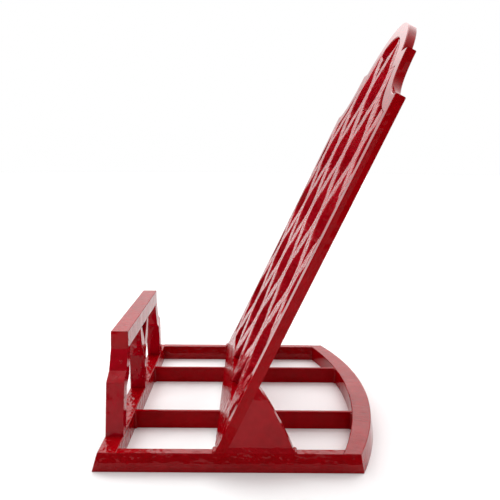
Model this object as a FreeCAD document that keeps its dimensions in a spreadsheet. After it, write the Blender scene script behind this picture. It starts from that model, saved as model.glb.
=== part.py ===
import FreeCAD, Part
import math
import os

import Sketcher

# Cookbook and tablet stand: a welded base frame of flat bars with a bowed rear rim, a low
# front ledge, and a back panel of wavy bars in a crested frame that leans on two gussets.
# X is the width, -Y the front, +Z up. The floor is z = 0 and the front top edge of the base
# is y = 0. All sizes are millimetres.

doc = FreeCAD.newDocument("cookbook_stand")
dims = doc.addObject("Spreadsheet::Sheet", "dims")


# ---------------------------------------------------------------- sizes

class Size:
    """A number that remembers the sheet expression it comes from."""

    def __init__(self, value, text):
        self.value = float(value)
        self.text = text

    def __add__(self, other):
        other = lift(other)
        return Size(self.value + other.value, "(%s + %s)" % (self.text, other.text))

    def __sub__(self, other):
        other = lift(other)
        return Size(self.value - other.value, "(%s - %s)" % (self.text, other.text))

    def __mul__(self, other):
        other = lift(other)
        return Size(self.value * other.value, "(%s * %s)" % (self.text, other.text))

    def __truediv__(self, other):
        other = lift(other)
        return Size(self.value / other.value, "(%s / %s)" % (self.text, other.text))

    def __neg__(self):
        return Size(-self.value, "(0 - %s)" % self.text)


def lift(number):
    return number if isinstance(number, Size) else Size(number, "%.6f" % number)


def root(size):
    return Size(math.sqrt(size.value), "sqrt(%s)" % size.text)


sheet_row = [1]


def named(alias, value, note):
    row = sheet_row[0]
    dims.set("A%d" % row, alias)
    dims.set("B%d" % row, str(value))
    dims.set("C%d" % row, note)
    dims.setAlias("B%d" % row, alias)
    sheet_row[0] = row + 1
    return Size(value, "dims." + alias)


zero = lift(0.0)
width = named("overall_width", 210.0, "base and panel, outside to outside")

base_height = named("base_height", 13.0, "height of every base bar")
rail_thick = named("rail_thick", 6.0, "side rail and gusset thickness")
bar_thick = named("bar_thick", 3.0, "inner bar thickness")
bar_spread = named("bar_spread", 87.0, "distance between the two inner bars")
front_depth = named("front_depth", 12.0, "front bar, front to back at the top")
front_draft = named("front_draft", 3.8, "how far the front bar's foot stands forward")
rim_end = named("rim_end", 165.6, "rear edge of the rim at its two ends")
rim_bow = named("rim_bow", 22.0, "how far the rim bows out beyond its ends")
rim_inner_end = named("rim_inner_end", 154.2, "inner edge of the rim at its two ends")
rim_inner_bow = named("rim_inner_bow", 19.4, "how far the inner edge bows out")
rim_draft = named("rim_draft", 2.2, "how far the rim's foot stands out")
base_round = named("base_round", 0.6, "rounding of the base bars' top edges")

panel_front = named("panel_front", 73.4, "front edge to the panel's front face at its foot")
panel_lean = named("panel_lean", 25.2, "lean from upright, degrees")
panel_thick = named("panel_thick", 6.6, "panel plate thickness")
stile_width = named("stile_width", 9.0, "side stile, seen from the front")
bottom_rail = named("bottom_rail", 21.0, "height of the panel's bottom rail")
shoulder = named("shoulder", 243.0, "height of the first shoulder up the panel")
shoulder_flat = named("shoulder_flat", 2.0, "flat between the side and the cove")
shoulder_leg = named("shoulder_leg", 17.5, "how far a shoulder piece runs down its stile")
cove_radius = named("cove_radius", 35.0, "hollow corner above the first shoulder")
crest_flat = named("crest_flat", 14.0, "flat between the cove and the arch")
arch_rise = named("arch_rise", 31.0, "height of the arch above the second shoulder")
frame_band = named("frame_band", 11.5, "width of the crest's band")
panel_round = named("panel_round", 0.8, "rounding of the panel frame's edges")
wave_round = named("wave_round", 1.2, "rounding of the wavy bars' edges")

neck_width = named("neck_width", 15.5, "two wavy bars side by side, at their widest touch")
neck_height = named("neck_height", 29.0, "length over which two wavy bars touch")
row_pitch = named("row_pitch", 94.0, "opening to opening up the panel")
first_row = named("first_row", 19.5, "first row of openings above the panel's foot")
cap_half = named("cap_half", 8.7, "half width of an opening's pointed end")
crown_half = named("crown_half", 22.0, "half width of the opening under the arch")
crown_drop = named("crown_drop", 5.0, "how far that opening reaches below its belly")
crown_tip = named("crown_tip", 2.0, "how much longer that opening's point is")

gusset_base = named("gusset_base", 43.5, "gusset foot, front to back")
gusset_reach = named("gusset_reach", 48.0, "how far up the panel the gusset reaches")
gusset_radius = named("gusset_radius", 260.0, "bulge of the gusset's rear edge")

ledge_height = named("ledge_height", 65.0, "ledge above the base")
ledge_thick = named("ledge_thick", 12.0, "ledge, front to back")
ledge_rail = named("ledge_rail", 12.0, "height of the ledge's top rail")
ledge_top = named("ledge_top", 121.0, "length of the top rail along its top edge")
post_foot = named("post_foot", 168.0, "outside to outside of the end posts at their feet")
post_knee = named("post_knee", 155.0, "outside to outside where the posts turn in")
post_shoulder = named("post_shoulder", 138.0, "outside to outside above the turn")
post_head = named("post_head", 124.0, "outside to outside under the top rail")
post_width = named("post_width", 9.2, "end post width")
knee_height = named("knee_height", 35.0, "height of the turn above the base")
turn_height = named("turn_height", 5.0, "height over which a post turns in")
turn_drop = named("turn_drop", 6.0, "how much lower the turn lies on the inside")
stem_foot = named("stem_foot", 6.0, "centre stem width at its foot")
tulip_waist = named("tulip_waist", 15.0, "centre stem width where it opens out")
tulip_width = named("tulip_width", 27.0, "centre stem width across its cup")
waist_height = named("waist_height", 33.0, "centre stem's waist above the base")
cup_height = named("cup_height", 40.0, "where the cup is full, above the base")
stem_height = named("stem_height", 27.0, "straight part of the centre stem")
tulip_head = named("tulip_head", 34.0, "centre stem width under the top rail")
notch_width = named("notch_width", 20.0, "notch in the cup, under the top rail")
notch_depth = named("notch_depth", 15.0, "notch in the cup, top to point")
ledge_round = named("ledge_round", 0.6, "rounding of the ledge's edges")

bead = named("bead", 1.5, "weld bead radius")
doc.recompute()


# ---------------------------------------------------------------- helpers

def bind(thing, prop, size):
    thing.setExpression(prop, size.text)


def new_body(name):
    body = doc.addObject("PartDesign::Body", name)
    body.Label = name
    return body


def new_sketch(body, name, plane):
    sketch = body.newObject("Sketcher::SketchObject", name)
    for feature in body.Origin.OriginFeatures:
        if feature.Role == plane:
            sketch.AttachmentSupport = [(feature, "")]
    sketch.MapMode = "FlatFace"
    return sketch


def draw(sketch, points, arcs=None):
    """Closed outline through the points; arcs maps a segment to (centre, radius, clockwise)."""
    arcs = arcs or {}
    first = sketch.GeometryCount
    count = len(points)
    starts = []
    for i, (px, py) in enumerate(points):
        qx, qy = points[(i + 1) % count]
        p = FreeCAD.Vector(px.value, py.value, 0)
        q = FreeCAD.Vector(qx.value, qy.value, 0)
        if i not in arcs:
            sketch.addGeometry(Part.LineSegment(p, q), False)
            starts.append((1, 2))
            continue
        (cx, cy), radius, clockwise = arcs[i]
        centre = FreeCAD.Vector(cx.value, cy.value, 0)
        circle = Part.Circle(centre, FreeCAD.Vector(0, 0, 1), radius.value)
        a, b = (q, p) if clockwise else (p, q)
        angle_a = math.atan2(a.y - centre.y, a.x - centre.x)
        angle_b = math.atan2(b.y - centre.y, b.x - centre.x)
        if angle_b <= angle_a:
            angle_b += 2 * math.pi
        sketch.addGeometry(Part.ArcOfCircle(circle, angle_a, angle_b), False)
        starts.append((2, 1) if clockwise else (1, 2))
    for i in range(count):
        after = (i + 1) % count
        sketch.addConstraint(Sketcher.Constraint(
            "Coincident", first + i, starts[i][1], first + after, starts[after][0]))
    for i, (px, py) in enumerate(points):
        for kind, size in (("DistanceX", px), ("DistanceY", py)):
            number = sketch.addConstraint(Sketcher.Constraint(
                kind, -1, 1, first + i, starts[i][0], size.value))
            sketch.setExpression("Constraints[%d]" % number, size.text)
    for i, (centre, radius, clockwise) in arcs.items():
        number = sketch.addConstraint(Sketcher.Constraint("Radius", first + i, radius.value))
        sketch.setExpression("Constraints[%d]" % number, radius.text)


def pad(body, sketch, length, middle=False):
    feature = body.newObject("PartDesign::Pad", body.Name + "_pad")
    feature.Profile = sketch
    feature.Midplane = middle
    feature.Reversed = not middle
    bind(feature, "Length", length)
    body.Tip = feature
    return feature


def pocket(body, sketch, length):
    feature = body.newObject("PartDesign::Pocket", sketch.Name + "_cut")
    feature.Profile = sketch
    feature.Midplane = True
    bind(feature, "Length", length)
    body.Tip = feature
    return feature


def keep_window(body, name, low_x, high_x, low_z, high_z):
    """Cut away everything outside a window, seen from the front."""
    sketch = new_sketch(body, name, "XZ_Plane")
    draw(sketch, [(low_x - width, low_z - width), (high_x + width, low_z - width),
                  (high_x + width, high_z + width), (low_x - width, high_z + width)])
    draw(sketch, [(low_x, low_z), (high_x, low_z), (high_x, high_z), (low_x, high_z)])
    pocket(body, sketch, ledge_thick * 4.0)


def round_edges(body, radius, rule):
    """Fillet the body's edges that the rule picks."""
    doc.recompute()
    plain = body.Tip
    names = ["Edge%d" % (i + 1) for i, edge in enumerate(plain.Shape.Edges) if rule(edge)]
    feature = body.newObject("PartDesign::Fillet", body.Name + "_round")
    feature.Base = (plain, names)
    bind(feature, "Radius", radius)
    body.Tip = feature
    return feature


def round_solid(solid, name, radius, rule):
    """Fillet a boolean's edges that the rule picks, as a new object."""
    doc.recompute()
    feature = doc.addObject("Part::Fillet", name)
    feature.Label = name
    feature.Base = solid
    numbers = [i + 1 for i, edge in enumerate(solid.Shape.Edges) if rule(edge)]
    feature.Edges = [(n, radius.value, radius.value) for n in numbers]
    return feature


def on_axis(edge, axis, value):
    box = edge.BoundBox
    low = getattr(box, axis + "Min")
    high = getattr(box, axis + "Max")
    return abs(low - value) < 0.01 and abs(high - value) < 0.01


def along(edge, axis):
    """True for a straight edge along one axis."""
    if not isinstance(edge.Curve, Part.Line):
        return False
    direction = edge.tangentAt(edge.FirstParameter)
    return abs(abs(getattr(direction, axis)) - 1.0) < 1e-6


def box_solid(name, x, y, z, length, depth, height):
    solid = doc.addObject("Part::Box", name)
    for prop, size in (("Placement.Base.x", x), ("Placement.Base.y", y), ("Placement.Base.z", z),
                       ("Length", length), ("Width", depth), ("Height", height)):
        bind(solid, prop, size)
    return solid


def boolean(kind, name, base, tool):
    solid = doc.addObject("Part::" + kind, name)
    solid.Label = name
    solid.Base = base
    solid.Tool = tool
    return solid


nodes = []
sides = (("left", -1.0), ("right", 1.0))
half = width / 2.0

# ---------------------------------------------------------------- base frame

# The front bar crosses the full width. Its front face slopes out towards the floor.
front_bar = new_body("front_bar")
profile = new_sketch(front_bar, "front_bar_profile", "YZ_Plane")
draw(profile, [(-front_draft, zero), (front_depth, zero), (front_depth, base_height),
               (zero, base_height)])
pad(front_bar, profile, width, middle=True)
round_edges(front_bar, base_round, lambda e: on_axis(e, "Z", base_height.value))
nodes.append(front_bar)

# The rear rim is cut on two arcs and its outer face slopes out towards the floor.
outer_radius = (half * half + rim_bow * rim_bow) / (rim_bow * 2.0)
outer_centre = rim_end + rim_bow - outer_radius
inner_radius = (half * half + rim_inner_bow * rim_inner_bow) / (rim_inner_bow * 2.0)
inner_centre = rim_inner_end + rim_inner_bow - inner_radius
rim_disc = doc.addObject("Part::Cone", "rim_disc")
bind(rim_disc, "Radius1", outer_radius + rim_draft)
bind(rim_disc, "Radius2", outer_radius)
bind(rim_disc, "Height", base_height)
bind(rim_disc, "Placement.Base.y", outer_centre)


def inner_disc(name):
    """The space inside the rim, which the rails and the inner bars run out to."""
    disc = doc.addObject("Part::Cylinder", name)
    bind(disc, "Radius", inner_radius)
    bind(disc, "Height", base_height)
    bind(disc, "Placement.Base.y", inner_centre)
    return disc


rim_blank = box_solid("rim_blank", -half, panel_front, zero, width, width, base_height)
rim_bowed = boolean("Common", "rim_bowed", rim_blank, rim_disc)
rim_sawn = boolean("Cut", "rim_sawn", rim_bowed, inner_disc("rim_inside"))
rear_rim = round_solid(rim_sawn, "rear_rim", base_round,
                       lambda e: on_axis(e, "Z", base_height.value))
nodes.append(rear_rim)


# The side rails and the two inner bars run from the front bar to the rim. The side rails'
# outer edges stay sharp, because the gussets and the panel stand flush with them.
def rail_edge(edge):
    outer = on_axis(edge, "X", half.value) or on_axis(edge, "X", -half.value)
    return along(edge, "y") and on_axis(edge, "Z", base_height.value) and not outer


def long_bar(name, middle, thick):
    blank = box_solid(name + "_blank", middle - thick / 2.0, front_depth, zero,
                      thick, rim_end + rim_bow, base_height)
    fitted = boolean("Common", name + "_fitted", blank, inner_disc(name + "_coping"))
    return round_solid(fitted, name, base_round, rail_edge)


for side, sign in sides:
    nodes.append(long_bar("side_rail_" + side, (half - rail_thick / 2.0) * sign, rail_thick))
for side, sign in sides:
    nodes.append(long_bar("inner_bar_" + side, bar_spread / 2.0 * sign, bar_thick))

# ---------------------------------------------------------------- front ledge

shelf = base_height + ledge_height - ledge_rail
top = base_height + ledge_height
knee = base_height + knee_height
turn = knee + turn_height


def ledge_edges(edge):
    """Front and rear edges of a ledge piece."""
    return on_axis(edge, "Y", 0.0) or on_axis(edge, "Y", ledge_thick.value)


def ledge_upright(body, outline):
    """An upright drawn past its two ends, rounded, and then cut off square at both."""
    profile = new_sketch(body, body.Name + "_profile", "XZ_Plane")
    draw(profile, outline)
    pad(body, profile, ledge_thick)
    round_edges(body, ledge_round, ledge_edges)
    keep_window(body, body.Name + "_ends", -half, half, base_height, shelf)
    nodes.append(body)


# The top rail lies across the heads of the posts and the stem. Its ends slope in.
ledge_top_rail = new_body("ledge_top_rail")
profile = new_sketch(ledge_top_rail, "ledge_rail_profile", "XZ_Plane")
draw(profile, [(-post_head / 2.0, shelf), (post_head / 2.0, shelf), (ledge_top / 2.0, top),
               (-ledge_top / 2.0, top)])
pad(ledge_top_rail, profile, ledge_thick)
round_edges(ledge_top_rail, ledge_round, ledge_edges)
nodes.append(ledge_top_rail)

# Each end post stands straight at its foot, turns in at the knee and leans in to the top rail.
for side, sign in sides:
    outside = [(post_foot, zero), (post_foot, base_height), (post_knee, knee),
               (post_shoulder, turn), (post_head, shelf), (post_head, top)]
    inside = outside[:2] + [(post_knee, knee - turn_drop), (post_shoulder, turn - turn_drop)]
    inside += outside[4:]
    outline = [(across / 2.0 * sign, level) for across, level in outside]
    outline += [((across / 2.0 - post_width) * sign, level) for across, level in inside[::-1]]
    ledge_upright(new_body("ledge_end_post_" + side), outline)

# The centre stem opens into a cup with a pointed notch, like a tulip.
right_side = [(stem_foot / 2.0, zero), (stem_foot / 2.0, base_height + stem_height),
              (tulip_waist / 2.0, base_height + waist_height),
              (tulip_width / 2.0, base_height + cup_height), (tulip_head / 2.0, shelf),
              (tulip_head / 2.0, top), (notch_width / 2.0, top), (notch_width / 2.0, shelf)]
outline = right_side + [(zero, shelf - notch_depth)]
outline += [(-x, z) for x, z in right_side[::-1]]
ledge_upright(new_body("ledge_centre_stem"), outline)

# ---------------------------------------------------------------- leaning panel

# The panel is drawn upright, front face on y = 0 and foot on z = 0, and then leant back.
crest = shoulder + cove_radius
crown = crest + arch_rise
arch_half = half - shoulder_flat - cove_radius - crest_flat
arch_radius = (arch_half * arch_half + arch_rise * arch_rise) / (arch_rise * 2.0)
arch_centre = crown - arch_radius
arch_inside = arch_radius - frame_band
cove_centre = half - shoulder_flat
cove_inside = cove_radius + frame_band
stile_edge = half - stile_width
stile_top = shoulder - shoulder_leg
arch_end = arch_half + shoulder_flat
crest_under = crest - frame_band
arch_foot = root(arch_inside * arch_inside - (crest_under - arch_centre)
                 * (crest_under - arch_centre))
cove_foot = cove_centre - root(cove_inside * cove_inside - frame_band * frame_band)
cove_side = crest - root(cove_inside * cove_inside - (cove_centre - stile_edge)
                         * (cove_centre - stile_edge))


def lean(thing):
    thing.Placement = FreeCAD.Placement(
        FreeCAD.Vector(0, panel_front.value, base_height.value),
        FreeCAD.Rotation(FreeCAD.Vector(-1, 0, 0), panel_lean.value))
    bind(thing, "Placement.Base.y", panel_front)
    bind(thing, "Placement.Base.z", base_height)
    bind(thing, "Placement.Rotation.Angle", panel_lean)
    nodes.append(thing)


def plate_edge(edge):
    """A front or rear edge of the plate, but not the two that lie flush with the gussets."""
    rear = on_axis(edge, "Y", panel_thick.value)
    outer = on_axis(edge, "X", half.value) or on_axis(edge, "X", -half.value)
    return on_axis(edge, "Y", 0.0) or (rear and not outer)


# The bottom rail lies on the base bars, so its foot is cut level.
foot_rise = Size(panel_thick.value * math.tan(math.radians(panel_lean.value)),
                 "(%s * tan(%s))" % (panel_thick.text, panel_lean.text))
panel_bottom_rail = new_body("panel_bottom_rail")
profile = new_sketch(panel_bottom_rail, "bottom_rail_profile", "YZ_Plane")
draw(profile, [(zero, zero), (panel_thick, foot_rise), (panel_thick, bottom_rail),
               (zero, bottom_rail)])
pad(panel_bottom_rail, profile, width, middle=True)
lean(panel_bottom_rail)

# The side stiles stand on the bottom rail.
for side, sign in sides:
    stile = new_body("panel_stile_" + side)
    profile = new_sketch(stile, "stile_profile_" + side, "XZ_Plane")
    draw(profile, [(half * sign, bottom_rail), (half * sign, stile_top),
                   (stile_edge * sign, stile_top), (stile_edge * sign, bottom_rail)])
    pad(stile, profile, panel_thick)
    round_edges(stile, panel_round, lambda e: plate_edge(e) and along(e, "z"))
    lean(stile)

# A shoulder piece with a hollow outer corner caps each stile and runs in to the arch.
for side, sign in sides:
    piece = new_body("panel_shoulder_" + side)
    profile = new_sketch(piece, "shoulder_profile_" + side, "XZ_Plane")
    outline = [(half, stile_top), (half, shoulder), (cove_centre, shoulder),
               (cove_centre - cove_radius, crest), (arch_end, crest), (arch_end, crest_under),
               (cove_foot, crest_under), (stile_edge, cove_side), (stile_edge, stile_top)]
    middle = (cove_centre * sign, crest)
    draw(profile, [(x * sign, z) for x, z in outline],
         {2: (middle, cove_radius, sign > 0), 6: (middle, cove_inside, sign < 0)})
    pad(piece, profile, panel_thick)
    round_edges(piece, panel_round, lambda e: plate_edge(e) and not (
        on_axis(e, "Z", stile_top.value) or on_axis(e, "X", arch_end.value * sign)))
    lean(piece)

# The arch joins the two shoulders.
arch = new_body("panel_arch")
profile = new_sketch(arch, "arch_profile", "XZ_Plane")
middle = (zero, arch_centre)
draw(profile, [(arch_end, crest), (arch_half, crest), (-arch_half, crest), (-arch_end, crest),
               (-arch_end, crest_under), (-arch_foot, crest_under), (arch_foot, crest_under),
               (arch_end, crest_under)],
     {1: (middle, arch_radius, False), 5: (middle, arch_inside, True)})
pad(arch, profile, panel_thick)
round_edges(arch, panel_round, lambda e: plate_edge(e) and not (
    on_axis(e, "X", arch_end.value) or on_axis(e, "X", -arch_end.value)))
lean(arch)

# ---------------------------------------------------------------- wavy bars of the panel

# The openings stand in columns an eighth of the width apart, every other column half a row
# higher. A wavy bar fills the space between two columns, so neighbours touch at the necks.
column = width / 8.0
belly = column - neck_width / 2.0
point = (row_pitch - neck_height) / 2.0
cap_rise = root(belly * belly - cap_half * cap_half)


def row_height(number, row):
    """Height of an opening's middle: even columns lie half a row above the odd ones."""
    return first_row + row_pitch * (row + (0.5 if number % 2 else 0.0))


def draw_opening(sketch, x, z):
    """A round belly with a pointed end above and below."""
    draw(sketch, [(x, z + point), (x + cap_half, z + cap_rise), (x + cap_half, z - cap_rise),
                  (x, z - point), (x - cap_half, z - cap_rise), (x - cap_half, z + cap_rise)],
         {1: ((x, z), belly, True), 4: ((x, z), belly, True)})


def draw_crown(sketch, z):
    """The middle opening under the arch: a pointed foot that spreads out to the band."""
    shift = crown_tip - crown_drop
    draw(sketch, [(zero, z - point - crown_tip), (cap_half, z - cap_rise + shift),
                  (crown_half, z - belly + crown_drop), (crown_half, z + point),
                  (-crown_half, z + point), (-crown_half, z - belly + crown_drop),
                  (-cap_half, z - cap_rise + shift)])


def draw_field(sketch):
    """Everything outside the frame's inner edge."""
    draw(sketch, [(-width, -row_pitch), (width, -row_pitch), (width, crown * 2.0),
                  (-width, crown * 2.0)])
    draw(sketch, [(-stile_edge, bottom_rail), (stile_edge, bottom_rail), (stile_edge, cove_side),
                  (cove_foot, crest_under), (arch_foot, crest_under),
                  (-arch_foot, crest_under), (-cove_foot, crest_under),
                  (-stile_edge, cove_side)],
         {2: ((cove_centre, crest), cove_inside, True),
          4: ((zero, arch_centre), arch_inside, False),
          6: ((-cove_centre, crest), cove_inside, True)})


def opening_edge(edge):
    """The front and rear edges round an opening."""
    outside = edge.BoundBox.ZMin < -row_pitch.value or edge.BoundBox.ZMax > crown.value * 1.5
    return plate_edge(edge) and not (along(edge, "x") or along(edge, "z") or outside)


def wavy_bar(name, left, right, low, high):
    """The bar between two neighbouring columns: a pierced plate cut down to one strip."""
    body = new_body(name)
    profile = new_sketch(body, name + "_plate", "XZ_Plane")
    draw(profile, [(column * (left - 1), -row_pitch), (column * (right + 1), -row_pitch),
                   (column * (right + 1), crown * 2.0), (column * (left - 1), crown * 2.0)])
    pad(body, profile, panel_thick)
    openings = new_sketch(body, name + "_openings", "XZ_Plane")
    for number in (left, right):
        for row in range(3):
            draw_opening(openings, column * number, row_height(number, row))
        if number == 0:
            draw_crown(openings, row_height(number, 3))
    pocket(body, openings, panel_thick * 4.0)
    round_edges(body, wave_round, opening_edge)
    field = new_sketch(body, name + "_field", "XZ_Plane")
    draw_field(field)
    pocket(body, field, panel_thick * 4.0)
    keep_window(body, name + "_strip", column * left, column * right, low, high)
    lean(body)


# Six bars run the full height, named from the left.
for number, left in enumerate(range(-3, 3)):
    wavy_bar("wavy_bar_%d" % (number + 1), left, left + 1, zero, crown)

# Beside each stile the wave is cut into three bows.
for side, sign in sides:
    for row in range(3):
        left, right = (-4, -3) if sign < 0 else (3, 4)
        centre = row_height(4, row)
        low = centre - row_pitch / 2.0 if row else zero
        wavy_bar("stile_bow_%s_%d" % (side, row + 1), left, right, low, centre + row_pitch / 2.0)

# ---------------------------------------------------------------- gussets

# A three-sided plate behind each end of the panel, flush with the side of the base.
slope = Size(math.tan(math.radians(panel_lean.value)), "tan(%s)" % panel_lean.text)
back_offset = Size(panel_thick.value / math.cos(math.radians(panel_lean.value)),
                   "(%s / cos(%s))" % (panel_thick.text, panel_lean.text))
reach_y = Size(gusset_reach.value * math.sin(math.radians(panel_lean.value)),
               "(%s * sin(%s))" % (gusset_reach.text, panel_lean.text))
reach_z = Size(gusset_reach.value * math.cos(math.radians(panel_lean.value)),
               "(%s * cos(%s))" % (gusset_reach.text, panel_lean.text))
foot_front = panel_front + back_offset
foot_rear = foot_front + gusset_base
tip_y = foot_front + reach_y
tip_z = base_height + reach_z
chord_y = foot_rear - tip_y
chord = root(chord_y * chord_y + reach_z * reach_z)
sag_leg = root(gusset_radius * gusset_radius - chord * chord / 4.0)
bulge_centre = ((tip_y + foot_rear) / 2.0 - reach_z / chord * sag_leg,
                (tip_z + base_height) / 2.0 - chord_y / chord * sag_leg)
for side, sign in sides:
    gusset = new_body("gusset_" + side)
    profile = new_sketch(gusset, "gusset_profile_" + side, "YZ_Plane")
    draw(profile, [(foot_front, base_height), (foot_rear, base_height), (tip_y, tip_z)],
         {1: (bulge_centre, gusset_radius, False)})
    pad(gusset, profile, rail_thick, middle=True)
    bind(gusset, "Placement.Base.x", (half - rail_thick / 2.0) * sign)
    nodes.append(gusset)

# ---------------------------------------------------------------- weld beads

def bead_rod(name, x, y, z, length, across):
    """A round rod laid in a corner, upright or across the width."""
    rod = doc.addObject("Part::Cylinder", name)
    bind(rod, "Radius", bead)
    bind(rod, "Height", length)
    if across:
        rod.Placement = FreeCAD.Placement(FreeCAD.Vector(0, 0, 0),
                                          FreeCAD.Rotation(FreeCAD.Vector(0, 1, 0), 90))
    for axis, size in (("x", x), ("y", y), ("z", z)):
        bind(rod, "Placement.Base." + axis, size)
    return rod


def bead_group(name, rods, neighbours):
    """The rods as one node, cut back to what stands clear of the pieces they join."""
    group = doc.addObject("Part::MultiFuse", name + "_rods")
    group.Shapes = rods
    for number, neighbour in enumerate(neighbours):
        group = boolean("Cut", "%s_%d" % (name, number), group, neighbour)
    group.Label = name
    nodes.append(group)


by_label = {node.Label: node for node in nodes}
corners = [(bar_spread / 2.0 * sign + bar_thick / 2.0 * face)
           for sign in (-1.0, 1.0) for face in (-1.0, 1.0)]
inner_bars = [by_label["inner_bar_left"], by_label["inner_bar_right"]]

# Upright beads where the inner bars meet the front bar and the rim.
bead_height = base_height - base_round
bead_group("bar_welds_front",
           [bead_rod("front_bead_%d" % i, x, front_depth, zero, bead_height, False)
            for i, x in enumerate(corners)], [front_bar] + inner_bars)
bead_group("bar_welds_rear",
           [bead_rod("rear_bead_%d" % i, x, inner_centre
                     + root(inner_radius * inner_radius - x * x), zero, bead_height, False)
            for i, x in enumerate(corners)], [rear_rim] + inner_bars)

# Short beads across the side rails, at the panel's front foot and the gussets' rear foot.
for side, sign in sides:
    start = half - rail_thick if sign > 0 else -half
    bead_group("foot_welds_" + side,
               [bead_rod("panel_bead_" + side, start, panel_front, base_height, rail_thick, True),
                bead_rod("gusset_bead_" + side, start, foot_rear, base_height, rail_thick, True)],
               [by_label["side_rail_" + side], panel_bottom_rail, by_label["gusset_" + side]])

# ---------------------------------------------------------------- write the pieces

doc.recompute()
os.makedirs("parts", exist_ok=True)
for thing in doc.Objects:
    if "Invalid" in thing.State or "Error" in thing.State:
        raise RuntimeError("%s failed: %s" % (thing.Name, thing.State))
for node in nodes:
    if node.Shape.isNull() or not node.Shape.isValid() or node.Shape.Volume <= 0:
        raise RuntimeError("%s has no valid shape" % node.Label)
for node in nodes:
    node.Shape.exportStep("parts/%s.step" % node.Label)
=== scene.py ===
import math

import bpy
from mathutils import Matrix, Vector


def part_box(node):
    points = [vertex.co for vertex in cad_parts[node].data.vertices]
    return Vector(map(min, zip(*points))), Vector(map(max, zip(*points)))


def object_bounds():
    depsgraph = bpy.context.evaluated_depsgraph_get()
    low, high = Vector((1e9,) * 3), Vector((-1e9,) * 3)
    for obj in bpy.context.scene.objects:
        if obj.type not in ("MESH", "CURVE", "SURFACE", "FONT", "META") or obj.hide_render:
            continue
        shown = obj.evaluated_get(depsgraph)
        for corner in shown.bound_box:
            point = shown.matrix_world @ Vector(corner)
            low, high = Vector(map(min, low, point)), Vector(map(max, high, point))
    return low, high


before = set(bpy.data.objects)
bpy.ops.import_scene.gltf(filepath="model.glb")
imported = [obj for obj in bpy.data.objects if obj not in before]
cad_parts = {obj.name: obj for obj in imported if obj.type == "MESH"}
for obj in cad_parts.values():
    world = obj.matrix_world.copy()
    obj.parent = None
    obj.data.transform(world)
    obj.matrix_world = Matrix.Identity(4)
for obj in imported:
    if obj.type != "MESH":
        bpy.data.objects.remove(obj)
cad_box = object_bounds()

# ---------------------------------------------------------------- front bar of the base
# The front bar is an iron casting with a sloping face, ground across its top. Like every piece
# of the stand it is dipped in a thick glossy crimson enamel, which lies in soft lumps over the
# cast skin and over the grinding marks.

MM = 0.001
UP = Vector((0.0, 0.0, 1.0))

# How fine each unevenness of the coat is, in bumps to a metre.
POOLS, CLOUDS, PEEL = 34.0, 190.0, 620.0
POOL_EDGES = (0.36, 0.64)
PEEL_HEIGHT = 0.012 * MM
ROUGHNESS = (0.03, 0.09)
GROUND_ROUGHNESS = 0.1
SIDE_FACING = 0.9
TOP_FACING = (0.9, 0.98)


def node(tree, kind, inputs, **settings):
    """Add a shader node. inputs are values or other nodes' sockets, by name or number."""
    made = tree.nodes.new("ShaderNode" + kind)
    for key, value in settings.items():
        setattr(made, key, value)
    for key, value in inputs.items():
        if isinstance(value, bpy.types.NodeSocket):
            tree.links.new(value, made.inputs[key])
        else:
            made.inputs[key].default_value = value
    return made


def reckon(tree, how, first, *others):
    """Join values with one kind of sum, from left to right."""
    for other in others:
        first = node(tree, "Math", {0: first, 1: other}, operation=how).outputs[0]
    return first


def empty_tree(owner):
    """The node tree of a material or world, with nothing in it."""
    owner.use_nodes = True
    owner.node_tree.nodes.clear()
    return owner.node_tree


def falls_beyond(direction, start, slope, waver=2.5 * MM):
    """A side face that slopes away past start along a direction. The line wavers by waver."""
    def relief(tree, position, facing, cloud):
        along = node(tree, "VectorMath", {0: position, 1: direction}, operation="DOT_PRODUCT")
        bend = reckon(tree, "MULTIPLY", reckon(tree, "ADD", cloud, -0.5), waver)
        past = reckon(tree, "ADD", along.outputs["Value"], bend, -start)
        past = reckon(tree, "MAXIMUM", past, 0.0)
        sideways = node(tree, "Math", {0: facing.outputs["X"]}, operation="ABSOLUTE")
        sideways = reckon(tree, "GREATER_THAN", sideways.outputs[0], SIDE_FACING)
        return reckon(tree, "MULTIPLY", past, -slope, sideways)
    return relief


def straight_marks(*fineness):
    """Grinding marks in straight lines, with their fineness along X, Y and Z."""
    def marks(tree, position):
        return node(tree, "VectorMath", {0: position, 1: fineness}, operation="MULTIPLY")
    return marks


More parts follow.
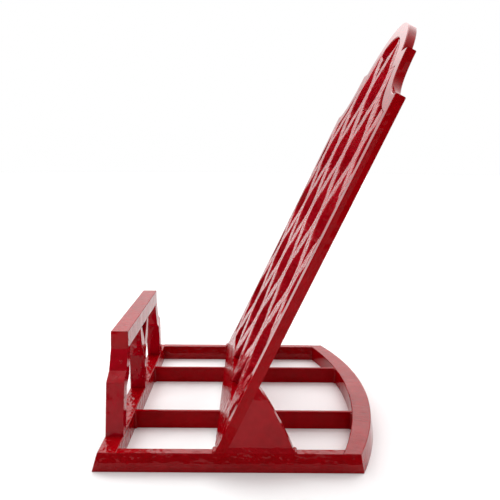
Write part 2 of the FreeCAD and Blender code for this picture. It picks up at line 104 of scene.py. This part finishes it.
def enamel(name, relief=(), lumps=0.16 * MM, fineness=(95.0, 95.0, 95.0), marks=None,
           mark_depth=0.02 * MM, gloss_index=1.25, deep=(0.24, 0.0, 0.0015),
           light=(0.32, 0.0, 0.003)):
    """Crimson enamel. lumps is how high its lumps stand, and fineness how fine they are along
    X, Y and Z. relief lists other shapes in the coat, and marks lays out the grinding."""
    coat = bpy.data.materials.new(name)
    tree = empty_tree(coat)
    position = node(tree, "TexCoord", {}).outputs["Object"]
    normal = node(tree, "NewGeometry", {}).outputs["Normal"]
    facing = node(tree, "SeparateXYZ", {"Vector": normal})

    # The colour is deeper where the coat has pooled.
    pools = node(tree, "TexNoise", {"Vector": position, "Scale": POOLS, "Detail": 3.0,
                                    "Roughness": 0.55}).outputs["Fac"]
    cloud = node(tree, "TexNoise", {"Vector": position, "Scale": CLOUDS, "Detail": 2.0,
                                    "Roughness": 0.5}).outputs["Fac"]
    depth = reckon(tree, "MULTIPLY", reckon(tree, "ADD", pools, cloud), 0.5)
    colour = node(tree, "ValToRGB", {0: depth})
    for stop, edge, shade in zip(colour.color_ramp.elements, POOL_EDGES, (deep, light)):
        stop.position = edge
        stop.color = (*shade, 1.0)

    # Lumps of the dipped coat, with a fine orange peel on top.
    spread = node(tree, "VectorMath", {0: position, 1: fineness}, operation="MULTIPLY")
    lump = node(tree, "TexNoise", {"Vector": spread.outputs["Vector"], "Scale": 1.0,
                                   "Detail": 1.5, "Roughness": 0.45}).outputs["Fac"]
    peel = node(tree, "TexNoise", {"Vector": position, "Scale": PEEL, "Detail": 1.0,
                                   "Roughness": 0.5}).outputs["Fac"]
    height = reckon(tree, "ADD", reckon(tree, "MULTIPLY", lump, lumps),
                    reckon(tree, "MULTIPLY", peel, PEEL_HEIGHT))
    for shape in relief:
        height = reckon(tree, "ADD", height, shape(tree, position, facing, cloud))

    # The grinding shows on top faces only, which are a little duller.
    roughness = node(tree, "MapRange", {"Value": cloud, "To Min": ROUGHNESS[0],
                                        "To Max": ROUGHNESS[1]}).outputs["Result"]
    if marks:
        top = node(tree, "MapRange", {"Value": facing.outputs["Z"], "From Min": TOP_FACING[0],
                                      "From Max": TOP_FACING[1]}).outputs["Result"]
        streak = node(tree, "TexNoise", {"Vector": marks(tree, position).outputs["Vector"],
                                         "Scale": 1.0, "Detail": 3.0, "Roughness": 0.6})
        cut = reckon(tree, "MULTIPLY", streak.outputs["Fac"], top, mark_depth)
        height = reckon(tree, "ADD", height, cut)
        roughness = reckon(tree, "ADD", roughness,
                           reckon(tree, "MULTIPLY", top, GROUND_ROUGHNESS))

    bump = node(tree, "Bump", {"Height": height, "Distance": 1.0, "Strength": 1.0})
    shader = node(tree, "BsdfPrincipled", {
        "Base Color": colour.outputs["Color"], "Roughness": roughness, "Metallic": 0.0,
        "IOR": gloss_index, "Normal": bump.outputs["Normal"]})
    node(tree, "OutputMaterial", {"Surface": shader.outputs["BSDF"]})
    return coat


def dip(coat, *names):
    """Give the named pieces this coat all over."""
    for name in names:
        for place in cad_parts[name].material_slots:
            place.material = coat


def both_sides(name):
    return [name + "_left", name + "_right"]


bar_low, bar_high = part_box("front_bar")
half_way_up = (bar_low.z + bar_high.z) / 2.0
end_fall = falls_beyond(UP, start=half_way_up - 0.5 * MM, slope=0.4)
dip(enamel("front_bar_enamel", [end_fall], lumps=1.1 * MM, fineness=(240.0, 240.0, 260.0),
           marks=straight_marks(1100.0, 240.0, 240.0)), "front_bar")

# ---------------------------------------------------------------- rear rim of the base
# The rim is one curved iron casting, butted against the side rails. Its top was dressed on a
# wheel held across it, so the marks fan out from the middle of the curve and show in the coat.

RIM_BOW = 22.0 * MM
RIM_MARKS = (150.0, 150.0, 0.0)

rim_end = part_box("rear_rim")[1]
rim_radius = (rim_end.x ** 2 + RIM_BOW ** 2) / (2.0 * RIM_BOW)
rim_centre = (0.0, rim_end.y - rim_radius, 0.0)


def fanned_marks(tree, position):
    """Grinding marks that fan out from the middle of the rim's curve."""
    outward = node(tree, "VectorMath", {0: position, 1: rim_centre}, operation="SUBTRACT")
    outward = node(tree, "VectorMath", {0: outward.outputs["Vector"]}, operation="NORMALIZE")
    return node(tree, "VectorMath", {0: outward.outputs["Vector"], 1: RIM_MARKS},
                operation="MULTIPLY")


dip(enamel("rim_enamel", [end_fall], lumps=0.3 * MM, marks=fanned_marks, mark_depth=0.5 * MM,
           gloss_index=1.28), "rear_rim")

# ---------------------------------------------------------------- side rails
# The two outer rails are thick iron bars from the front bar to the rim, ground across their
# tops. The coat is lumpy on them.

dip(enamel("rail_enamel", [end_fall], lumps=1.2 * MM, fineness=(160.0, 160.0, 260.0),
           marks=straight_marks(240.0, 700.0, 240.0)), *both_sides("side_rail"))

# ---------------------------------------------------------------- inner bars
# Two thin iron strips stand on edge between the side rails, welded to the front bar and the
# rim. Their coat is thin and even.

dip(enamel("bar_enamel", lumps=0.18 * MM, gloss_index=1.14), *both_sides("inner_bar"))

# ---------------------------------------------------------------- ledge's top rail
# The ledge keeps the book from sliding off. Its top rail is a thick iron bar, ground flat on
# top from front to back, with a few drops of coat along it.

DROPS = 270.0
DROP_RADIUS = 0.34
BARE_SHARE = 0.75


def set_drops(proud):
    """Round drops that have set in the coat, in one cell of four, standing proud."""
    def relief(tree, position, facing, cloud):
        cell = node(tree, "TexVoronoi", {"Vector": position, "Scale": DROPS})
        dome = node(tree, "MapRange", {"Value": cell.outputs["Distance"],
                                       "From Min": DROP_RADIUS, "From Max": 0.0},
                    interpolation_type="SMOOTHSTEP").outputs["Result"]
        chosen = node(tree, "SeparateColor", {0: cell.outputs["Color"]}).outputs[0]
        chosen = reckon(tree, "GREATER_THAN", chosen, BARE_SHARE)
        return reckon(tree, "MULTIPLY", dome, chosen, proud)
    return relief


dip(enamel("ledge_rail_enamel", [set_drops(0.3 * MM)], lumps=0.4 * MM,
           marks=straight_marks(600.0, 160.0, 160.0), mark_depth=0.35 * MM, gloss_index=1.24),
    "ledge_top_rail")

# ---------------------------------------------------------------- ledge's posts and stem
# Two kinked iron end posts and a centre stem that opens like a tulip carry the top rail. They
# stand on the front bar, and the coat has run down them in streaks and drops.

dip(enamel("ledge_post_enamel", [set_drops(0.5 * MM)], lumps=0.55 * MM,
           fineness=(150.0, 150.0, 60.0), deep=(0.29, 0.0, 0.004), light=(0.37, 0.0, 0.008)),
    *both_sides("ledge_end_post"), "ledge_centre_stem")

# ---------------------------------------------------------------- bottom rail of the panel
# The panel's foot is a cast iron rail across the side rails, under the ends of the wavy bars.
# The coat is thick and lumpy on it, with set drops.

dip(enamel("bottom_rail_enamel", [set_drops(0.6 * MM)], lumps=1.4 * MM,
           fineness=(260.0, 260.0, 160.0), gloss_index=1.12), "panel_bottom_rail")

# ---------------------------------------------------------------- stiles, shoulders and arch
# The rest of the panel's frame is cast iron too: two stiles, two hollow-cornered shoulders and
# an arch. A parting line runs round its edge, half way through its thickness.

PANEL_LEAN = math.radians(25.2)
PANEL_THICK = 6.6 * MM
PARTING_WAVER = 1.0 * MM

to_back = Vector((0.0, math.cos(PANEL_LEAN), -math.sin(PANEL_LEAN)))
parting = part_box("panel_bottom_rail")[0].dot(to_back) + PANEL_THICK / 2.0
behind_line = falls_beyond(to_back, start=parting, slope=-0.14, waver=PARTING_WAVER)
before_line = falls_beyond(-to_back, start=-parting, slope=-0.1, waver=PARTING_WAVER)
dip(enamel("panel_frame_enamel", [behind_line, before_line], lumps=0.22 * MM, gloss_index=1.18),
    *both_sides("panel_stile"), *both_sides("panel_shoulder"), "panel_arch")

# ---------------------------------------------------------------- wavy bars of the panel
# Cast iron bars bend in and out, and meet at their necks to make rows of pointed openings, with
# short bows beside the stiles. The coat has filled the corners where they touch.

bars = ["wavy_bar_%d" % (i + 1) for i in range(6)]
bows = ["%s_%d" % (side, i + 1) for side in both_sides("stile_bow") for i in range(3)]
dip(enamel("wavy_bar_enamel", [set_drops(0.8 * MM)], lumps=1.6 * MM,
           fineness=(420.0, 260.0, 260.0), gloss_index=1.13,
           deep=(0.29, 0.0, 0.003), light=(0.42, 0.003, 0.012)), *bars, *bows)

# ---------------------------------------------------------------- gussets
# A three-sided iron plate props each end of the panel on its rail. It is welded on and dressed
# flush with the side of the stand, so its coat is flat but for the top and the foot.

GUSSET_TOP = 8.0 * MM
GUSSET_FOOT = 4.0 * MM

gusset_low, gusset_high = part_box("gusset_right")
top_falls = falls_beyond(UP, start=gusset_high.z - GUSSET_TOP, slope=0.3)
foot_swells = falls_beyond(-UP, start=-gusset_low.z - GUSSET_FOOT, slope=-0.35)
dip(enamel("gusset_enamel", [top_falls, foot_swells], lumps=0.3 * MM,
           fineness=(60.0, 60.0, 60.0), deep=(0.26, 0.002, 0.005), light=(0.34, 0.004, 0.008)),
    *both_sides("gusset"))

# ---------------------------------------------------------------- weld beads
# Small rough beads of weld fill the corners where bars, panel and gussets meet the base. They
# are under the same coat as the rest.

dip(enamel("bead_enamel", lumps=0.5 * MM),
    "bar_welds_front", "bar_welds_rear", *both_sides("foot_welds"))

# ---------------------------------------------------------------- floor
# The stand is on a pale, plain, matt surface that runs far past it on every side. It lies a
# hair under the base, so that the two don't meet in one plane.

FLOOR_RADIUS = 6.0
FLOOR_GAP = 0.1 * MM
FLOOR_GREYS = (0.88, 0.91)

bpy.ops.mesh.primitive_circle_add(vertices=96, radius=FLOOR_RADIUS, fill_type="NGON",
                                  location=(0.0, 0.0, -FLOOR_GAP))
floor = bpy.context.object
floor.name = "studio_floor"
pale = bpy.data.materials.new("pale_floor")
tree = empty_tree(pale)
grain = node(tree, "TexNoise", {"Vector": node(tree, "TexCoord", {}).outputs["Object"],
                                "Scale": 3.0})
tint = node(tree, "ValToRGB", {0: grain.outputs["Fac"]})
for stop, grey in zip(tint.color_ramp.elements, FLOOR_GREYS):
    stop.color = (grey, grey, grey, 1.0)
matt = node(tree, "BsdfDiffuse", {"Color": tint.outputs["Color"]})
node(tree, "OutputMaterial", {"Surface": matt.outputs["BSDF"]})
floor.data.materials.append(pale)

# ---------------------------------------------------------------- room and lamps
# The room is plain white to look at. What it throws on the stand is brighter behind it and
# above it, and dim in front. A broad soft lamp hangs overhead, and a round one in front.

BEHIND = {"From Min": -0.55, "From Max": 0.3, "To Min": 1.0, "To Max": 0.07}
ABOVE = {"From Min": 0.2, "From Max": 0.42, "To Min": 1.05, "To Max": 2.9}
OVERHEAD_ENERGY, OVERHEAD_SPREAD = 0.6, math.radians(50.0)
OVERHEAD_TURN = (math.radians(-8.0), math.radians(25.0), 0.0)
ROUND_SIZE, ROUND_POWER = 0.5, 1.7
ROUND_PLACE, ROUND_AIM = Vector((0.50, -0.40, 0.75)), Vector((0.05, 0.10, 0.10))


def hang(lamp, place, turn):
    """Put a lamp in the scene at a place, turned by three angles."""
    hung = bpy.data.objects.new(lamp.name, lamp)
    hung.location = place
    hung.rotation_euler = turn
    bpy.context.scene.collection.objects.link(hung)


room = bpy.data.worlds.new("soft_room")
bpy.context.scene.world = room
tree = empty_tree(room)
way = node(tree, "SeparateXYZ", {"Vector": node(tree, "TexCoord", {}).outputs["Generated"]})
behind = node(tree, "MapRange", {"Value": way.outputs["X"], **BEHIND},
              interpolation_type="SMOOTHSTEP")
above = node(tree, "MapRange", {"Value": way.outputs["Z"], **ABOVE},
             interpolation_type="SMOOTHSTEP")
thrown = reckon(tree, "MULTIPLY", behind.outputs["Result"], above.outputs["Result"])
seen = node(tree, "LightPath", {}).outputs["Is Camera Ray"]
strength = node(tree, "Mix", {0: seen, 2: thrown, 3: 1.0}, data_type="FLOAT").outputs[0]
glow = node(tree, "Background", {"Color": (1.0, 1.0, 1.0, 1.0), "Strength": strength})
node(tree, "OutputWorld", {"Surface": glow.outputs["Background"]})

overhead = bpy.data.lights.new("overhead", "SUN")
overhead.energy = OVERHEAD_ENERGY
overhead.angle = OVERHEAD_SPREAD
hang(overhead, (0.0, 0.0, 0.0), OVERHEAD_TURN)

round_lamp = bpy.data.lights.new("round_lamp", "AREA")
round_lamp.shape = "DISK"
round_lamp.size = ROUND_SIZE
round_lamp.energy = ROUND_POWER
hang(round_lamp, ROUND_PLACE, (ROUND_AIM - ROUND_PLACE).to_track_quat("-Z", "Y").to_euler())

# ---------------------------------------------------------------- camera
# The camera looks at the right side of the stand, square to the rails, from a third of a metre
# away and a little above, and points slightly down.

LENS, SENSOR = 41.32, 36.0
TO_STAND = 0.3339
PAST_FRONT = 0.0989
ABOVE_FLOOR = 0.1970
TILT_DOWN, ROLL = math.radians(9.316), math.radians(0.356)

stand_low, stand_high = cad_box
lens = bpy.data.cameras.new("camera")
lens.lens = LENS
lens.sensor_width = SENSOR
camera = bpy.data.objects.new("camera", lens)
camera.matrix_world = (
    Matrix.Translation((stand_high[0] + TO_STAND, stand_low[1] + PAST_FRONT, ABOVE_FLOOR))
    @ Matrix.Rotation(math.radians(90.0), 4, "Z")
    @ Matrix.Rotation(math.radians(90.0) - TILT_DOWN, 4, "X")
    @ Matrix.Rotation(ROLL, 4, "Z"))
bpy.context.scene.collection.objects.link(camera)
bpy.context.scene.camera = camera
bpy.context.scene.view_settings.view_transform = "Standard"
